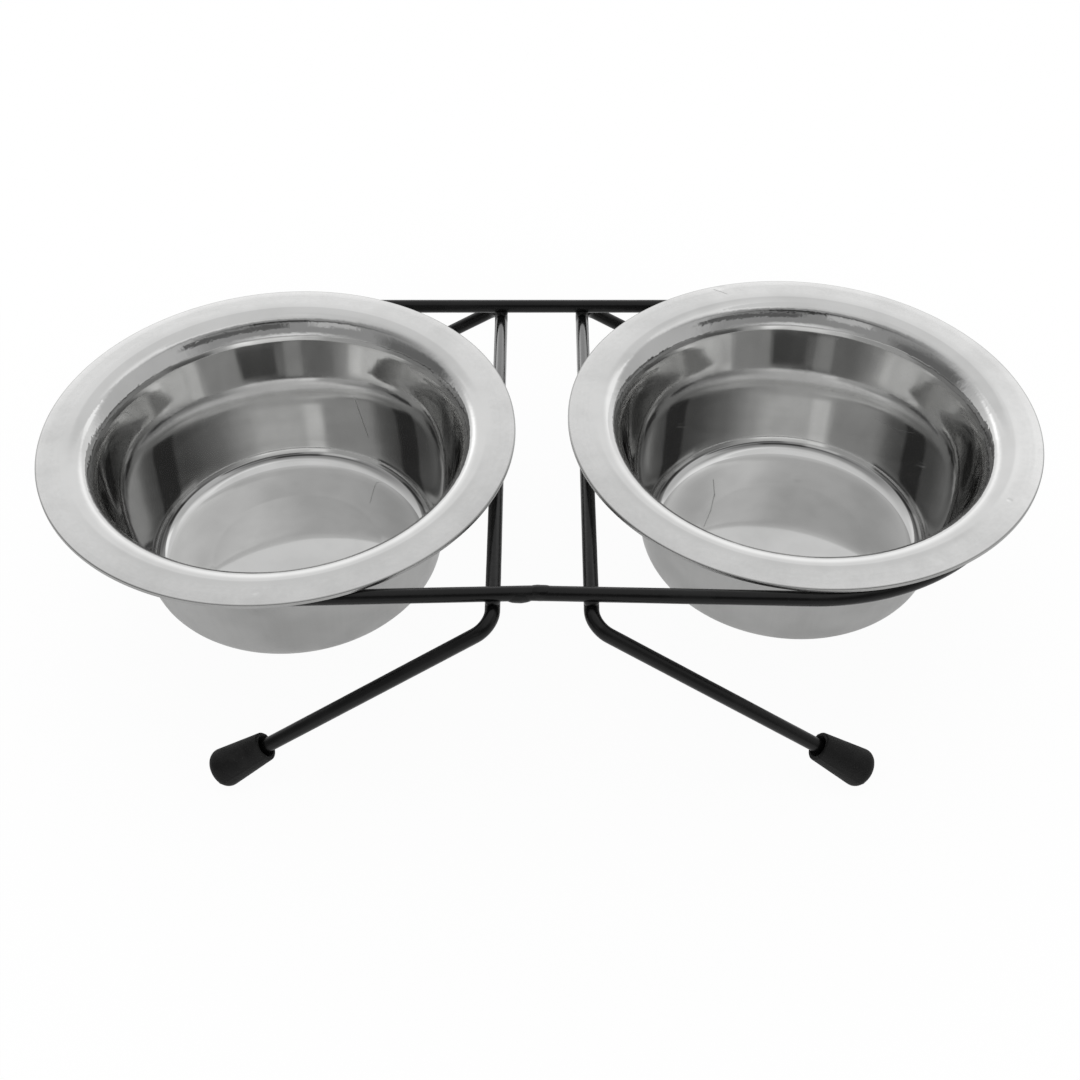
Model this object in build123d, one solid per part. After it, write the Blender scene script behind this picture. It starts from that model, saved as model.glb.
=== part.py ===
"""Double pet bowl: two deep-drawn steel bowls hanging in a welded wire stand with rubber feet.

Millimetres. The origin is on the floor under the middle of the stand. X runs along the two bowls,
Y towards the back and Z up.
"""
import os
from math import acos, atan2, cos, radians, sin, tan

from build123d import *

# Bowl: one sheet of steel, measured on the side that holds the food
RIM_DIAMETER = 160.0
FLANGE_WIDTH = 17.3
BOWL_HEIGHT = 59.6
SHEET = 0.6
LIP_DEPTH = 1.6
LIP_INSIDE_RADIUS = 0.4
THROAT_RADIUS = 9.0
WALL_TAPER = 12.0
FLOOR_CORNER_RADIUS = 7.4
FLOOR_BAND_WIDTH = 20.5
FLOOR_BAND_RISE = 0.6
FLOOR_CREASE_RADIUS = 40.0

# How the bowls hang in the loop
RIM_GAP = 17.8
BOWL_FLOOR_CLEARANCE = 14.3
BOWL_PLAY = 9.6
RING_INSET = 5.5
SEAT_CLEARANCE = 0.3
LEFT_BOWL_SHIFT = -1.2
RIGHT_BOWL_SHIFT = 5.4

# Wire stand
WIRE_DIAMETER = 4.8
FRONT_DRAW_IN = 2.4
FRONT_KINK_RADIUS = 60.0
CROSSBAR_SPACING = 30.4
CROSSBAR_OVERHANG = 0.4
LEG_BEND_RADIUS = 7.0
LEG_SLOPE = 33.7
LEG_SPLAY = 5.7

# Welds
WELD_GAP = 0.2
WELD_FILLET = 0.9
BUTT_WELD_X = -3.0
BUTT_WELD_LENGTH = 11.0
BUTT_WELD_RISE = 0.6

# Rubber foot caps
CAP_LENGTH = 20.0
CAP_SOLE = 5.0
CAP_FUNNEL_GAP = 1.3
CAP_FUNNEL_DEPTH = 2.6
CAP_MOUTH_WALL = 1.1
CAP_MOUTH_RADIUS = 0.5
CAP_FLARE = 2.0
CAP_END_RADIUS = 3.0
CAP_FLAT_DEPTH = 0.4

# Heights and places that follow from the sizes above
wire_radius = WIRE_DIAMETER / 2
rim_radius = RIM_DIAMETER / 2
opening_radius = rim_radius - FLANGE_WIDTH
ring_radius = opening_radius + BOWL_PLAY + wire_radius
bowl_x = (RIM_DIAMETER + RIM_GAP) / 2
ring_x = bowl_x - RING_INSET
crossbar_x = CROSSBAR_SPACING / 2
rim_top = BOWL_FLOOR_CLEARANCE + BOWL_HEIGHT
rail_z = rim_top - LIP_DEPTH - SEAT_CLEARANCE - wire_radius
crossbar_z = rail_z - WIRE_DIAMETER - WELD_GAP
leg_turn = acos(cos(radians(LEG_SLOPE)) * sin(radians(LEG_SPLAY)))
corner_y = ring_radius + CROSSBAR_OVERHANG + LEG_BEND_RADIUS * tan(leg_turn / 2)
butt_weld_at = Vector(BUTT_WELD_X, FRONT_DRAW_IN - ring_radius, rail_z)

SIDES = {"left": -1, "right": 1}
ENDS = {"front": -1, "back": 1}


def turned(outline):
    """A solid turned about the Z axis from a closed outline of (radius, height)."""
    return revolve(Plane.XZ * make_face(outline), Axis.Z)


def wire_along(path):
    """A round wire along a path of straight runs and tangent arcs."""
    start = Plane(path @ 0, z_dir=path % 0)
    return sweep(start * Circle(wire_radius), path)


def bowl():
    """One bowl about the Z axis, with the top of its flange at height 0."""
    floor_edge = opening_radius - WALL_TAPER
    floor_z = SHEET - BOWL_HEIGHT
    corners = [
        (0, floor_z),
        (floor_edge - FLOOR_BAND_WIDTH, floor_z),
        (floor_edge, floor_z + FLOOR_BAND_RISE),
        (opening_radius, 0),
        (rim_radius, 0),
        (rim_radius, -LIP_DEPTH),
    ]
    radii = [FLOOR_CREASE_RADIUS, FLOOR_CORNER_RADIUS, THROAT_RADIUS, SHEET + LIP_INSIDE_RADIUS]
    food_side = FilletPolyline(*corners, radius=radii)
    return turned(offset(food_side, SHEET, side=Side.RIGHT))


def front_touch(side):
    """Where the front run leaves the round end of the loop on one side."""
    centre = Vector(side * ring_x, 0, rail_z)
    to_weld = butt_weld_at - centre
    angle = atan2(to_weld.Y, to_weld.X) + side * acos(ring_radius / to_weld.length)
    return centre + Vector(cos(angle), sin(angle)) * ring_radius


def front_rail_y(x):
    """Y of the front run's centre line at a place along X."""
    touch = front_touch(1 if x > BUTT_WELD_X else -1)
    share = (x - BUTT_WELD_X) / (touch.X - BUTT_WELD_X)
    return butt_weld_at.Y + share * (touch.Y - butt_weld_at.Y)


def rail_loop():
    """The loop that carries the bowls: a straight back run, two round ends and a kinked front."""
    back = [Vector(side * ring_x, ring_radius, rail_z) for side in (-1, 1)]
    tips = [Vector(side * (ring_x + ring_radius), 0, rail_z) for side in (-1, 1)]
    touches = [front_touch(side) for side in (-1, 1)]
    path = Wire(
        [
            Line(back[0], back[1]),
            ThreePointArc(back[1], tips[1], touches[1]),
            *FilletPolyline(touches[1], butt_weld_at, touches[0], radius=FRONT_KINK_RADIUS).edges(),
            ThreePointArc(touches[0], tips[0], back[0]),
        ]
    )
    return wire_along(path)


def leg_direction(side, end):
    """The way a leg runs from its bend down to its foot."""
    slope = radians(LEG_SLOPE)
    splay = radians(LEG_SPLAY)
    return Vector(side * cos(slope) * cos(splay), end * cos(slope) * sin(splay), -sin(slope))


def foot_cap():
    """A rubber cap about the Z axis, its mouth up and the bottom of its bore at height 0."""
    mouth_z = CAP_LENGTH - CAP_SOLE
    funnel_radius = wire_radius + CAP_FUNNEL_GAP
    mouth_radius = funnel_radius + CAP_MOUTH_WALL
    outside = FilletPolyline(
        (0, -CAP_SOLE),
        (mouth_radius + CAP_FLARE, -CAP_SOLE),
        (mouth_radius, mouth_z),
        (funnel_radius, mouth_z),
        radius=[CAP_END_RADIUS, CAP_MOUTH_RADIUS],
    )
    bore = Polyline(
        (funnel_radius, mouth_z),
        (wire_radius, mouth_z - CAP_FUNNEL_DEPTH),
        (wire_radius, 0),
        (0, 0),
        (0, -CAP_SOLE),
    )
    return turned([*outside.edges(), *bore.edges()])


def cap_plane(origin, side, end):
    """The plane that turns a cap onto its leg, mouth towards the bend."""
    return Plane(origin, z_dir=-leg_direction(side, end))


def wire_end(side, end):
    """The tip of a leg, where the wire meets the bottom of its cap's bore."""
    tilted = cap_plane((0, 0, 0), side, end) * foot_cap()
    tip_z = -tilted.bounding_box().min.Z - CAP_FLAT_DEPTH
    corner = Vector(side * crossbar_x, end * corner_y, crossbar_z)
    return corner + leg_direction(side, end) * ((crossbar_z - tip_z) / sin(radians(LEG_SLOPE)))


def leg_wire(side):
    """Front leg, crossbar and back leg bent from one wire."""
    corners = [Vector(side * crossbar_x, end * corner_y, crossbar_z) for end in (-1, 1)]
    path = FilletPolyline(wire_end(side, -1), *corners, wire_end(side, 1), radius=LEG_BEND_RADIUS)
    return wire_along(path.wire())


def placed_cap(side, end):
    """A cap on its leg, worn flat where it stands on the floor."""
    cap = cap_plane(wire_end(side, end), side, end) * foot_cap()
    return split(cap, bisect_by=Plane.XY, keep=Keep.TOP)


def cross_weld(side, end, loop, leg):
    """Weld metal that fills the gap where a crossbar passes under the loop."""
    x = side * crossbar_x
    y = ring_radius if end > 0 else front_rail_y(x)
    bead = Pos(x, y, rail_z - wire_radius - WELD_GAP / 2) * Sphere(wire_radius + WELD_FILLET)
    return bead - loop - leg


def butt_weld(loop):
    """The swollen ring of weld metal where the loop's two ends meet."""
    half = BUTT_WELD_LENGTH / 2
    swell = ThreePointArc((wire_radius, -half), (wire_radius + BUTT_WELD_RISE, 0), (wire_radius, half))
    axis_side = Polyline((wire_radius, half), (0, half), (0, -half), (wire_radius, -half))
    ring = turned([swell, *axis_side.edges()])
    return Plane(butt_weld_at, z_dir=(1, 0, 0)) * ring - loop


def assembly():
    """Every piece by name."""
    loop = rail_loop()
    pieces = {"rail_loop": loop, "rail_butt_weld": butt_weld(loop)}
    for side_name, side in SIDES.items():
        leg = leg_wire(side)
        pieces[f"leg_wire_{side_name}"] = leg
        for end_name, end in ENDS.items():
            pieces[f"weld_{end_name}_{side_name}"] = cross_weld(side, end, loop, leg)
            pieces[f"foot_cap_{end_name}_{side_name}"] = placed_cap(side, end)
    pieces["bowl_left"] = Pos(-bowl_x, LEFT_BOWL_SHIFT, rim_top) * bowl()
    pieces["bowl_right"] = Pos(bowl_x, RIGHT_BOWL_SHIFT, rim_top) * bowl()
    return pieces


os.makedirs("parts", exist_ok=True)
for name, piece in assembly().items():
    export_step(piece, f"parts/{name}.step")
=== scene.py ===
"""Looks of a double pet bowl: two drawn steel bowls hanging in a coated wire stand on rubber foot caps.

Metres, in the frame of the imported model: X along the bowls, Y towards the back, Z up from the floor.
"""
from math import acos, atan2, cos, pi, radians, sin, sqrt

import bpy
from mathutils import Matrix, Vector


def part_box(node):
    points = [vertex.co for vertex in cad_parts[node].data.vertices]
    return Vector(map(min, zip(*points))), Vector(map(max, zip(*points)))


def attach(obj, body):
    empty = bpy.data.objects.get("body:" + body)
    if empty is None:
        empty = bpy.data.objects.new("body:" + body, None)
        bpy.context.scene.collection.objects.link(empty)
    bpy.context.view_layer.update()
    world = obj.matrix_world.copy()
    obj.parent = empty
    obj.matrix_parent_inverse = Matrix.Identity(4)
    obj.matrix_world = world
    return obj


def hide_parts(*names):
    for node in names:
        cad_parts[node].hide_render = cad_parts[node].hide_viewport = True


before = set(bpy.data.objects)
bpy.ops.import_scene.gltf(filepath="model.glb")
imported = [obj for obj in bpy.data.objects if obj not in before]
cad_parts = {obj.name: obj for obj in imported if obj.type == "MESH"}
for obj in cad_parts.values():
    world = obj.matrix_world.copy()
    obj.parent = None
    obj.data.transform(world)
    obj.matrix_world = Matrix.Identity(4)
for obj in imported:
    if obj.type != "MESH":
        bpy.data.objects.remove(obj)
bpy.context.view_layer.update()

MM = 0.001
MICRON = 1e-6

# Bowl, measured on the side that holds the food
FLANGE_WIDTH = 11.0 * MM
SHEET = 0.6 * MM
LIP_DEPTH = 1.6 * MM
LIP_RADIUS = 0.35 * MM
EDGE_FALL = 0.3 * MM
EDGE_WIDTH = 3.0 * MM
EDGE_RADIUS = 12.0 * MM
EDGE_DROP = 0.15 * MM
BEVEL_WIDTH = 3.9 * MM
BEVEL_DROP = 1.0 * MM
BEVEL_RADIUS = 13.5 * MM
THROAT_RADIUS = 5.5 * MM
MOUTH_WIDTH = 3.5 * MM
MOUTH_DROP = 5.0 * MM
MOUTH_RADIUS = 16.0 * MM
WALL_TAPER = 10.8 * MM
FLOOR_CORNER_RADIUS = 7.3 * MM
FLOOR_BAND_WIDTH = 20.2 * MM
FLOOR_BAND_RISE = 0.6 * MM
FLOOR_CREASE_RADIUS = 40.0 * MM
SHARP_ANGLE = radians(50)

# Wire stand
KINK_RADIUS = 60.0 * MM
LEG_BEND_RADIUS = 7.0 * MM
LEG_SLOPE = radians(33.7)
LEG_SPLAY = radians(5.7)

# Welds: size of a bead, and where the butt weld's two beads sit from its middle
CROSSING_BEAD = Vector((2.5, 2.5, 2.7)) * MM
BUTT_BEAD = Vector((5.5, 2.55, 2.6)) * MM
BUTT_STEPS = (Vector((-4.0, -0.3, -0.5)) * MM, Vector((2.5, 0.0, 0.1)) * MM)
BEAD_SUBDIVISIONS = 5

# Rubber foot caps
CAP_LENGTH = 20.0 * MM
CAP_SOLE = 5.0 * MM
CAP_FUNNEL_GAP = 1.3 * MM
CAP_FUNNEL_DEPTH = 2.6 * MM
CAP_MOUTH_WALL = 1.1 * MM
CAP_MOUTH_RADIUS = 0.5 * MM
CAP_FLARE = 2.0 * MM
CAP_END_RADIUS = 3.0 * MM
CAP_BORE_RADIUS = 0.2 * MM
CAP_GRIP = 0.1 * MM

# Inputs of the trees that shape the pieces: fineness, waves of the sheet, the drawn mouth's puckers,
# the caps' mould seam, waves of the coating and lumps of the welds
BOWL_SHAPING = {
    "Corner steps": 8,
    "Longest run": 2.5 * MM,
    "Turn steps": 288,
    "Wall ripple": 0.15 * MM,
    "Flat ripple": 0.05 * MM,
    "Ripple size": 22.0 * MM,
    "Pucker height": 0.15 * MM,
    "Pucker size": 9.0 * MM,
    "Pucker middle": -5.0 * MM,
    "Pucker reach": 5.5 * MM,
    "Seam height": 0.0,
    "Seam width": 1.0,
}
CAP_SHAPING = {
    "Corner steps": 8,
    "Longest run": 0.6 * MM,
    "Turn steps": 144,
    "Wall ripple": 0.06 * MM,
    "Flat ripple": 0.06 * MM,
    "Ripple size": 4.0 * MM,
    "Pucker height": 0.0,
    "Pucker size": 1.0,
    "Pucker middle": 0.0,
    "Pucker reach": 1.0,
    "Seam height": 0.1 * MM,
    "Seam width": 0.35 * MM,
}
WIRE_SHAPING = {
    "Bend steps": 48,
    "Step": 1.0 * MM,
    "Round steps": 32,
    "Coat waves": 0.06 * MM,
    "Wave size": 9.0 * MM,
}
WELD_SHAPING = {"Lump height": 0.5 * MM, "Lump size": 3.0 * MM}

# Turning an outline: radius of the circle it is swept round, the gap at which its seams and poles merge,
# and the scale of the sheet's waves, which run longer up the wall
LATHE_REACH = 50.0 * MM
MERGE_GAP = 1.0 * MICRON
RIPPLE_STRETCH = (1, 1, 0.35)

# Seeds: a bowl adds its side, a cap its side and its end. A mark's pattern moves by the step times its seed
INSIDE_SEED = 4.0
OUTSIDE_SEED = 9.0
BOWL_SEED = 3.0
CAP_SEED = 5.0
CAP_END_STEP = 3.0
LOOP_SEED = 1.0
LEG_SEEDS = {"left": 2.0, "right": 3.0}
WELD_SEED = 2.0
SEED_STEP = Vector((0.37, 0.91, 0.53))

# Noise: its middle value, and how much finer noise it carries
NOISE_MIDDLE = 0.5
PLAIN_DETAIL = 1.0
RIPPLE_DETAIL = 1.5
SMUDGE_DETAIL = 2.0
HAIRLINE_DETAIL = 0.0

# Camera of the photograph
CAMERA_EYE = Vector((-0.62, -381.44, 401.86)) * MM
CAMERA_PITCH = radians(44.984)
CAMERA_LENS = 49.5
CAMERA_SENSOR = 36.0

# Finishes, as roughness
POLISH = 0.03
FLANGE_SATIN = 0.16
OUTSIDE_SATIN = 0.3
COAT_GLOSS = 0.22
RUBBER_MATTE = 0.6

# Shine of the coating and the rubber, as the shader's specular level
COAT_SHINE = 0.3
RUBBER_SHINE = 0.25

# Colours: clean, then dulled, worn or dusty; the inside's dulled steel also paints the shade along the lip
INSIDE_STEEL = (0.69, 0.69, 0.685)
FLANGE_STEEL = (0.73, 0.73, 0.725)
DULLED_AND_SHADED_STEEL = (0.42, 0.42, 0.415)
OUTSIDE_STEEL = (0.47, 0.47, 0.465)
OUTSIDE_DULLED = (0.38, 0.38, 0.375)
COAT_BLACK = (0.003, 0.003, 0.0031)
COAT_WORN = (0.014, 0.014, 0.014)
RUBBER_BLACK = (0.0065, 0.0065, 0.0065)
RUBBER_DUSTY = (0.035, 0.0345, 0.034)

# Marks on each finish: the effect that makes a mark, and its sizes
INSIDE_MARKS = {
    "lines": ("spun lines", {"Width": 0.5 * MM}),
    "grain": ("smudges", {"Size": 1.6 * MM, "Bare": 0.35}),
    "haze": ("smudges", {"Size": 11.0 * MM, "Bare": 0.4}),
    "chatter": ("smudges", {"Size": 3.0 * MM, "Bare": 0.3}),
    "smudge": ("smudges", {"Size": 35.0 * MM, "Bare": 0.42}),
    "streaks": ("drawn streaks", {"Count": 14.0, "Length": 30.0 * MM}),
    "scratch": ("hairlines", {"Length": 25.0 * MM, "Spacing": 4.0 * MM}),
}
OUTSIDE_MARKS = {
    "lines": ("spun lines", {"Width": 0.7 * MM}),
    "smudge": ("smudges", {"Size": 22.0 * MM, "Bare": 0.4}),
    "streaks": ("drawn streaks", {"Count": 30.0, "Length": 40.0 * MM}),
    "scratch": ("hairlines", {"Length": 20.0 * MM, "Spacing": 3.0 * MM}),
}
COAT_MARKS = {
    "peel": ("pebbled skin", {"Size": 1.4 * MM, "Seed": 2.0}),
    "smudge": ("smudges", {"Size": 12.0 * MM, "Bare": 0.45, "Seed": 3.0}),
    "specks": ("specks", {"Spacing": 3.0 * MM, "Dot": 0.06}),
}
RUBBER_MARKS = {
    "grain": ("pebbled skin", {"Size": 0.5 * MM, "Seed": 6.0}),
    "dust": ("smudges", {"Size": 5.0 * MM, "Bare": 0.42, "Seed": 7.0}),
    "specks": ("specks", {"Spacing": 0.9 * MM, "Dot": 0.3}),
}

# How much each mark dulls a finish (for the edge, how much painted shade darkens the lip), how much it
# roughens it, and its relief in microns
INSIDE_DULLED_AND_SHADED = {
    "smudge": 0.15,
    "haze": 0.1,
    "score": 0.8,
    "flange lines": 0.1,
    "flange grain": 0.06,
    # Painted shade: the lip is darkened fully, standing in for its own shadow
    "edge": 1.0,
}
INSIDE_ROUGHENED = {"flange": FLANGE_SATIN, "lines": 0.02, "smudge": 0.02, "scratch": 0.06, "score": 0.3}
INSIDE_RELIEF = {
    "lines": 0.12,
    "flange lines": 0.28,
    "wall streaks": 14.0,
    "mouth chatter": 24.0,
    "score": -12.0,
    "knock": -80.0,
}
OUTSIDE_STREAKED = {"smudge": 0.4, "streaks": 0.3}
OUTSIDE_ROUGHENED = {"lines": 0.06, "smudge": 0.08, "scratch": 0.08}
OUTSIDE_RELIEF = {"lines": 1.6, "streaks": 6.0}
COAT_DULLED = {"smudge": 0.35, "specks": 0.6}
COAT_ROUGHENED = {"smudge": 0.12, "specks": 0.2, "peel": 0.04}
COAT_RELIEF = {"peel": 25.0}
RUBBER_GREYED = {"dust": 0.3, "specks": 0.35, "sole": 0.6}
RUBBER_ROUGHENED = {"grain": 0.1, "dust": 0.12}
RUBBER_RELIEF = {"grain": 60.0}

# Forms of the effects: how rings drift round the axis, how smudges fade, and the turns, thickness and
# patches of the hairlines
RING_DRIFT = 0.7
SMUDGE_FADE = 0.3
HAIRLINE_TURNS = ((0.3, 0.3, 0.5), (-0.5, -0.5, -0.9))
HAIRLINE_CORE = 0.002
HAIRLINE_FADE = 0.012
HAIRLINE_BARE = 0.5
HAIRLINE_FULL = 0.62

# Where finishes change on a bowl: streaks above the floor, satin outside the opening, painted shade along the
# lip at the rim
STREAKS_FROM = 4.0 * MM
STREAKS_FULL = 14.0 * MM
SATIN_FROM = 1.5 * MM
SATIN_FULL = 4.5 * MM
LIP_SHADE_FROM = 0.6 * MM
LIP_SHADE_FULL = 0.2 * MM

# Chatter marks that drawing leaves in the mouth, below the rim
CHATTER_DEPTH = 3.5 * MM
CHATTER_REACH = 3.5 * MM

# Coating rubbed glossy where a hand carries the stand by its crossbars
HAND_GAP_HALF = 18.0 * MM
HAND_FADE = 5.0 * MM
HAND_REACH = 45.0 * MM
HAND_GLOSS = 0.12
HAND_GLOSS_IOR = 2.4

# Height up to which the floor greys the rubber
SOLE_GREY = 1.6 * MM

# Marks of use in millimetres from a bowl's axis and rim: scores as middle, direction across and half length,
# knocks as middle and reach
SCORE_WIDTH = 0.35 * MM
SCORE_TAPER_FROM = 0.7
SCORES = {
    "left": [((20.5, 50.8, -38.0), (0.96, 0.0, 0.28), 9.5)],
    "right": [
        ((-23.1, 28.0, -58.7), (1.0, -0.03, 0.0), 5.5),
        ((-24.3, 20.0, -58.9), (0.97, -0.24, 0.0), 5.5),
        ((-27.0, 11.3, -59.0), (0.93, -0.36, 0.0), 5.5),
        ((-21.8, 72.7, 0.0), (0.54, 0.85, 0.0), 3.5),
    ],
}
KNOCKS = {
    "left": [((2.3, -74.6, 0.0), 1.6)],
    "right": [
        ((29.7, -72.9, 0.0), 3.2),
        ((25.5, -70.0, 0.0), 4.6),
        ((34.6, -67.2, 0.0), 4.2),
        ((-21.8, 75.5, 0.0), 2.6),
        ((61.3, -40.9, 0.0), 1.2),
        ((9.4, 33.3, -59.0), 3.0),
    ],
}

# Studio floor, glow and overhead lamp
FLOOR_REACH = 6.0
FLOOR_FADE_FROM = 0.1
FLOOR_FADE_TO = 0.3
FLOOR_WHITE_NEAR = 0.96
FLOOR_MIRRORED_NEAR = 0.6
FLOOR_MIRRORED_FAR = 0.2
FLOOR_PALE = (0.88, 0.88, 0.88, 1)
WHITE = (1, 1, 1, 1)
WORLD_GLOW = 0.55
SOFTBOX_PLACE = Vector((0, 0.25, 1.0))
SOFTBOX_WIDTH = 1.2
SOFTBOX_DEPTH = 0.9
SOFTBOX_RADIANCE = 1.1

# Bounces that light gets between the polished walls
MIRROR_BOUNCES = 16

# Studio round the steel, in degrees from the back (right is positive) and up from the floor:
# the angles named here, then the brightness
PANEL_ANGLES = ("Middle", "Half width", "Side softness", "Lowest", "Highest", "Edge softness")
STUDIO_PANELS = {
    "ceiling": (0, 180, 1, -90, 120, 1, 0.8),
    "left ceiling": (-115, 85, 40, 46, 76, 8, 0.73),
    "right softbox": (100, 66, 60, 50, 67.5, 4, 1.05),
    "room": (186, 108, 66, -90, 60, 18, 0.34),
    "right wall": (88, 38, 28, -90, 50, 14, 0.59),
    "left wall": (-97, 24, 16, -90, 24, 20, 0.16),
    "dim front": (190, 56, 70, 37, 45, 10, 0.13),
    "dark front": (180, 19, 8, 36, 46, 6, 0.06),
    "dark corner": (150, 32, 10, 24, 34, 5, 0.13),
    "left front window": (-148, 14, 8, 26, 36, 6, 0.58),
    "white back": (3, 45, 20, -90, 42, 4, 0.94),
    "back glow": (3, 21, 16, 14, 29, 14, 1.25),
    "right back lamp": (35, 11, 10, 26, 42, 4, 1.2),
    "left back lamp": (-34, 13, 26, 14, 28, 16, 1.6),
    "front window": (182, 22, 50, -90, 8, 8, 0.95),
}

SIDES = {"left": -1, "right": 1}
ENDS = {"front": -1, "back": 1}

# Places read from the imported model
loop_low, loop_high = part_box("rail_loop")
wire_radius = (loop_high.z - loop_low.z) / 2
rail_z = (loop_high.z + loop_low.z) / 2
ring_radius = loop_high.y - wire_radius
tip_x = loop_high.x - wire_radius


def middle(node):
    """Middle of a node's box."""
    low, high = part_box(node)
    return (low + high) / 2


butt_weld_at = middle("rail_butt_weld")


# Nodes


def feed(tree, socket, value):
    """Links an output into a socket, or sets the socket's own value."""
    if isinstance(value, bpy.types.NodeSocket):
        tree.links.new(value, socket)
    else:
        socket.default_value = value


def add(tree, kind, inputs=None, **settings):
    """A node with its settings and its inputs, which are named or numbered."""
    node = tree.nodes.new(kind)
    for name, value in settings.items():
        setattr(node, name, value)
    for key, value in (inputs or {}).items():
        feed(tree, node.inputs[key], value)
    return node


def maths(tree, operation, *values):
    """The result of a Math node."""
    return add(tree, "ShaderNodeMath", dict(enumerate(values)), operation=operation).outputs[0]


def vector_maths(tree, operation, *values):
    """The result of a Vector Math node: a number for a length or a dot product, or else a vector."""
    node = add(tree, "ShaderNodeVectorMath", dict(enumerate(values)), operation=operation)
    return node.outputs["Value" if operation in ("LENGTH", "DOT_PRODUCT") else "Vector"]


def parts_of(tree, vector):
    """X, Y and Z of a vector."""
    return add(tree, "ShaderNodeSeparateXYZ", {0: vector}).outputs


def joined(tree, x, y, z=0.0):
    """A vector of X, Y and Z."""
    return add(tree, "ShaderNodeCombineXYZ", {"X": x, "Y": y, "Z": z}).outputs[0]


def times(tree, first, second):
    """The product of two values."""
    return maths(tree, "MULTIPLY", first, second)


def total(tree, *values):
    """The sum of some values."""
    result = values[0]
    for value in values[1:]:
        result = maths(tree, "ADD", result, value)
    return result


def apart(tree, first, second):
    """How far two values are apart."""
    return maths(tree, "ABSOLUTE", maths(tree, "SUBTRACT", first, second))


def share_between(tree, value, low, high):
    """How far a value is on its way from low to high, eased at both ends."""
    node = add(
        tree,
        "ShaderNodeMapRange",
        {"Value": value, "From Min": low, "From Max": high},
        interpolation_type="SMOOTHSTEP",
    )
    return node.outputs[0]


def fade(tree, value, full, gone):
    """1 where a value is up to full, eased down to 0 where it is gone."""
    return maths(tree, "SUBTRACT", 1, share_between(tree, value, full, gone))


def new_group(name, kind, inputs, output):
    """An empty node group with named inputs and one output, and its input and output nodes."""
    tree = bpy.data.node_groups.new(name, kind)
    for in_out, sockets in (("INPUT", inputs), ("OUTPUT", output)):
        for label, socket in sockets.items():
            tree.interface.new_socket(label, in_out=in_out, socket_type="NodeSocket" + socket)
    return tree, tree.nodes.new("NodeGroupInput"), tree.nodes.new("NodeGroupOutput")


# Shaping


def surface_place(tree):
    """Places of the points of a curve or mesh."""
    return add(tree, "GeometryNodeInputPosition").outputs[0]


def rounded(tree, curve, steps):
    """The curve with each corner rounded by its point's radius."""
    corner = add(tree, "GeometryNodeInputRadius").outputs[0]
    node = add(
        tree,
        "GeometryNodeFilletCurve",
        {"Curve": curve, "Count": steps, "Radius": corner, "Limit Radius": False},
        mode="POLY",
    )
    return node.outputs[0]


def divided(tree, curve, longest):
    """The curve with its long runs cut into pieces."""
    here = add(tree, "GeometryNodeSplineParameter").outputs["Length"]
    following = maths(tree, "ADD", add(tree, "GeometryNodeInputIndex").outputs[0], 1)
    there = add(tree, "GeometryNodeFieldAtIndex", {"Value": here, "Index": following}, domain="POINT")
    run = maths(tree, "SUBTRACT", there.outputs[0], here)
    cuts = maths(tree, "MAXIMUM", maths(tree, "FLOOR", maths(tree, "DIVIDE", run, longest)), 0)
    return add(tree, "GeometryNodeSubdivideCurve", {"Curve": curve, "Cuts": cuts}).outputs[0]


def circle(tree, steps, radius):
    """A circle of straight steps."""
    sizes = {"Resolution": steps, "Radius": radius}
    return add(tree, "GeometryNodeCurvePrimitiveCircle", sizes, mode="RADIUS").outputs[0]


def swept(tree, path, section, fill_ends=False):
    """The mesh of a section swept along a path."""
    inputs = {"Curve": path, "Profile Curve": section, "Fill Caps": fill_ends}
    return add(tree, "GeometryNodeCurveToMesh", inputs).outputs[0]


def turned(tree, outline, steps):
    """The mesh of an outline in the XZ plane, turned about Z."""
    at = parts_of(tree, surface_place(tree))
    laid = joined(tree, maths(tree, "SUBTRACT", at["X"], LATHE_REACH), times(tree, at["Z"], -1))
    section = add(tree, "GeometryNodeSetPosition", {"Geometry": outline, "Position": laid}).outputs[0]
    ring = circle(tree, steps, LATHE_REACH)
    path = add(tree, "GeometryNodeSetCurveNormal", {"Curve": ring}, mode="Z_UP").outputs[0]
    merging = {"Geometry": swept(tree, path, section), "Distance": MERGE_GAP}
    return add(tree, "GeometryNodeMergeByDistance", merging).outputs[0]


def waves(tree, place, size, seed, height, detail=PLAIN_DETAIL):
    """Soft waves about 0, of a size and a height."""
    level = add(
        tree,
        "ShaderNodeTexNoise",
        {"Vector": place, "W": seed, "Scale": maths(tree, "DIVIDE", 1, size), "Detail": detail},
        noise_dimensions="4D",
    )
    return times(tree, maths(tree, "SUBTRACT", level.outputs[0], NOISE_MIDDLE), height)


def raised(tree, mesh, height):
    """The mesh moved along its normals by a height."""
    normal = add(tree, "GeometryNodeInputNormal").outputs[0]
    offset = add(tree, "ShaderNodeVectorMath", {0: normal, "Scale": height}, operation="SCALE")
    moved = add(tree, "GeometryNodeSetPosition", {"Geometry": mesh, "Offset": offset.outputs[0]})
    return moved.outputs[0]


def finished(tree, mesh, finish):
    """The mesh shaded smooth, realized and given its finish."""
    smooth = add(tree, "GeometryNodeSetShadeSmooth", {"Geometry": mesh})
    realized = add(tree, "GeometryNodeRealizeInstances", {"Geometry": smooth.outputs[0]})
    coated = {"Geometry": realized.outputs[0], "Material": finish}
    return add(tree, "GeometryNodeSetMaterial", coated).outputs[0]


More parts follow.
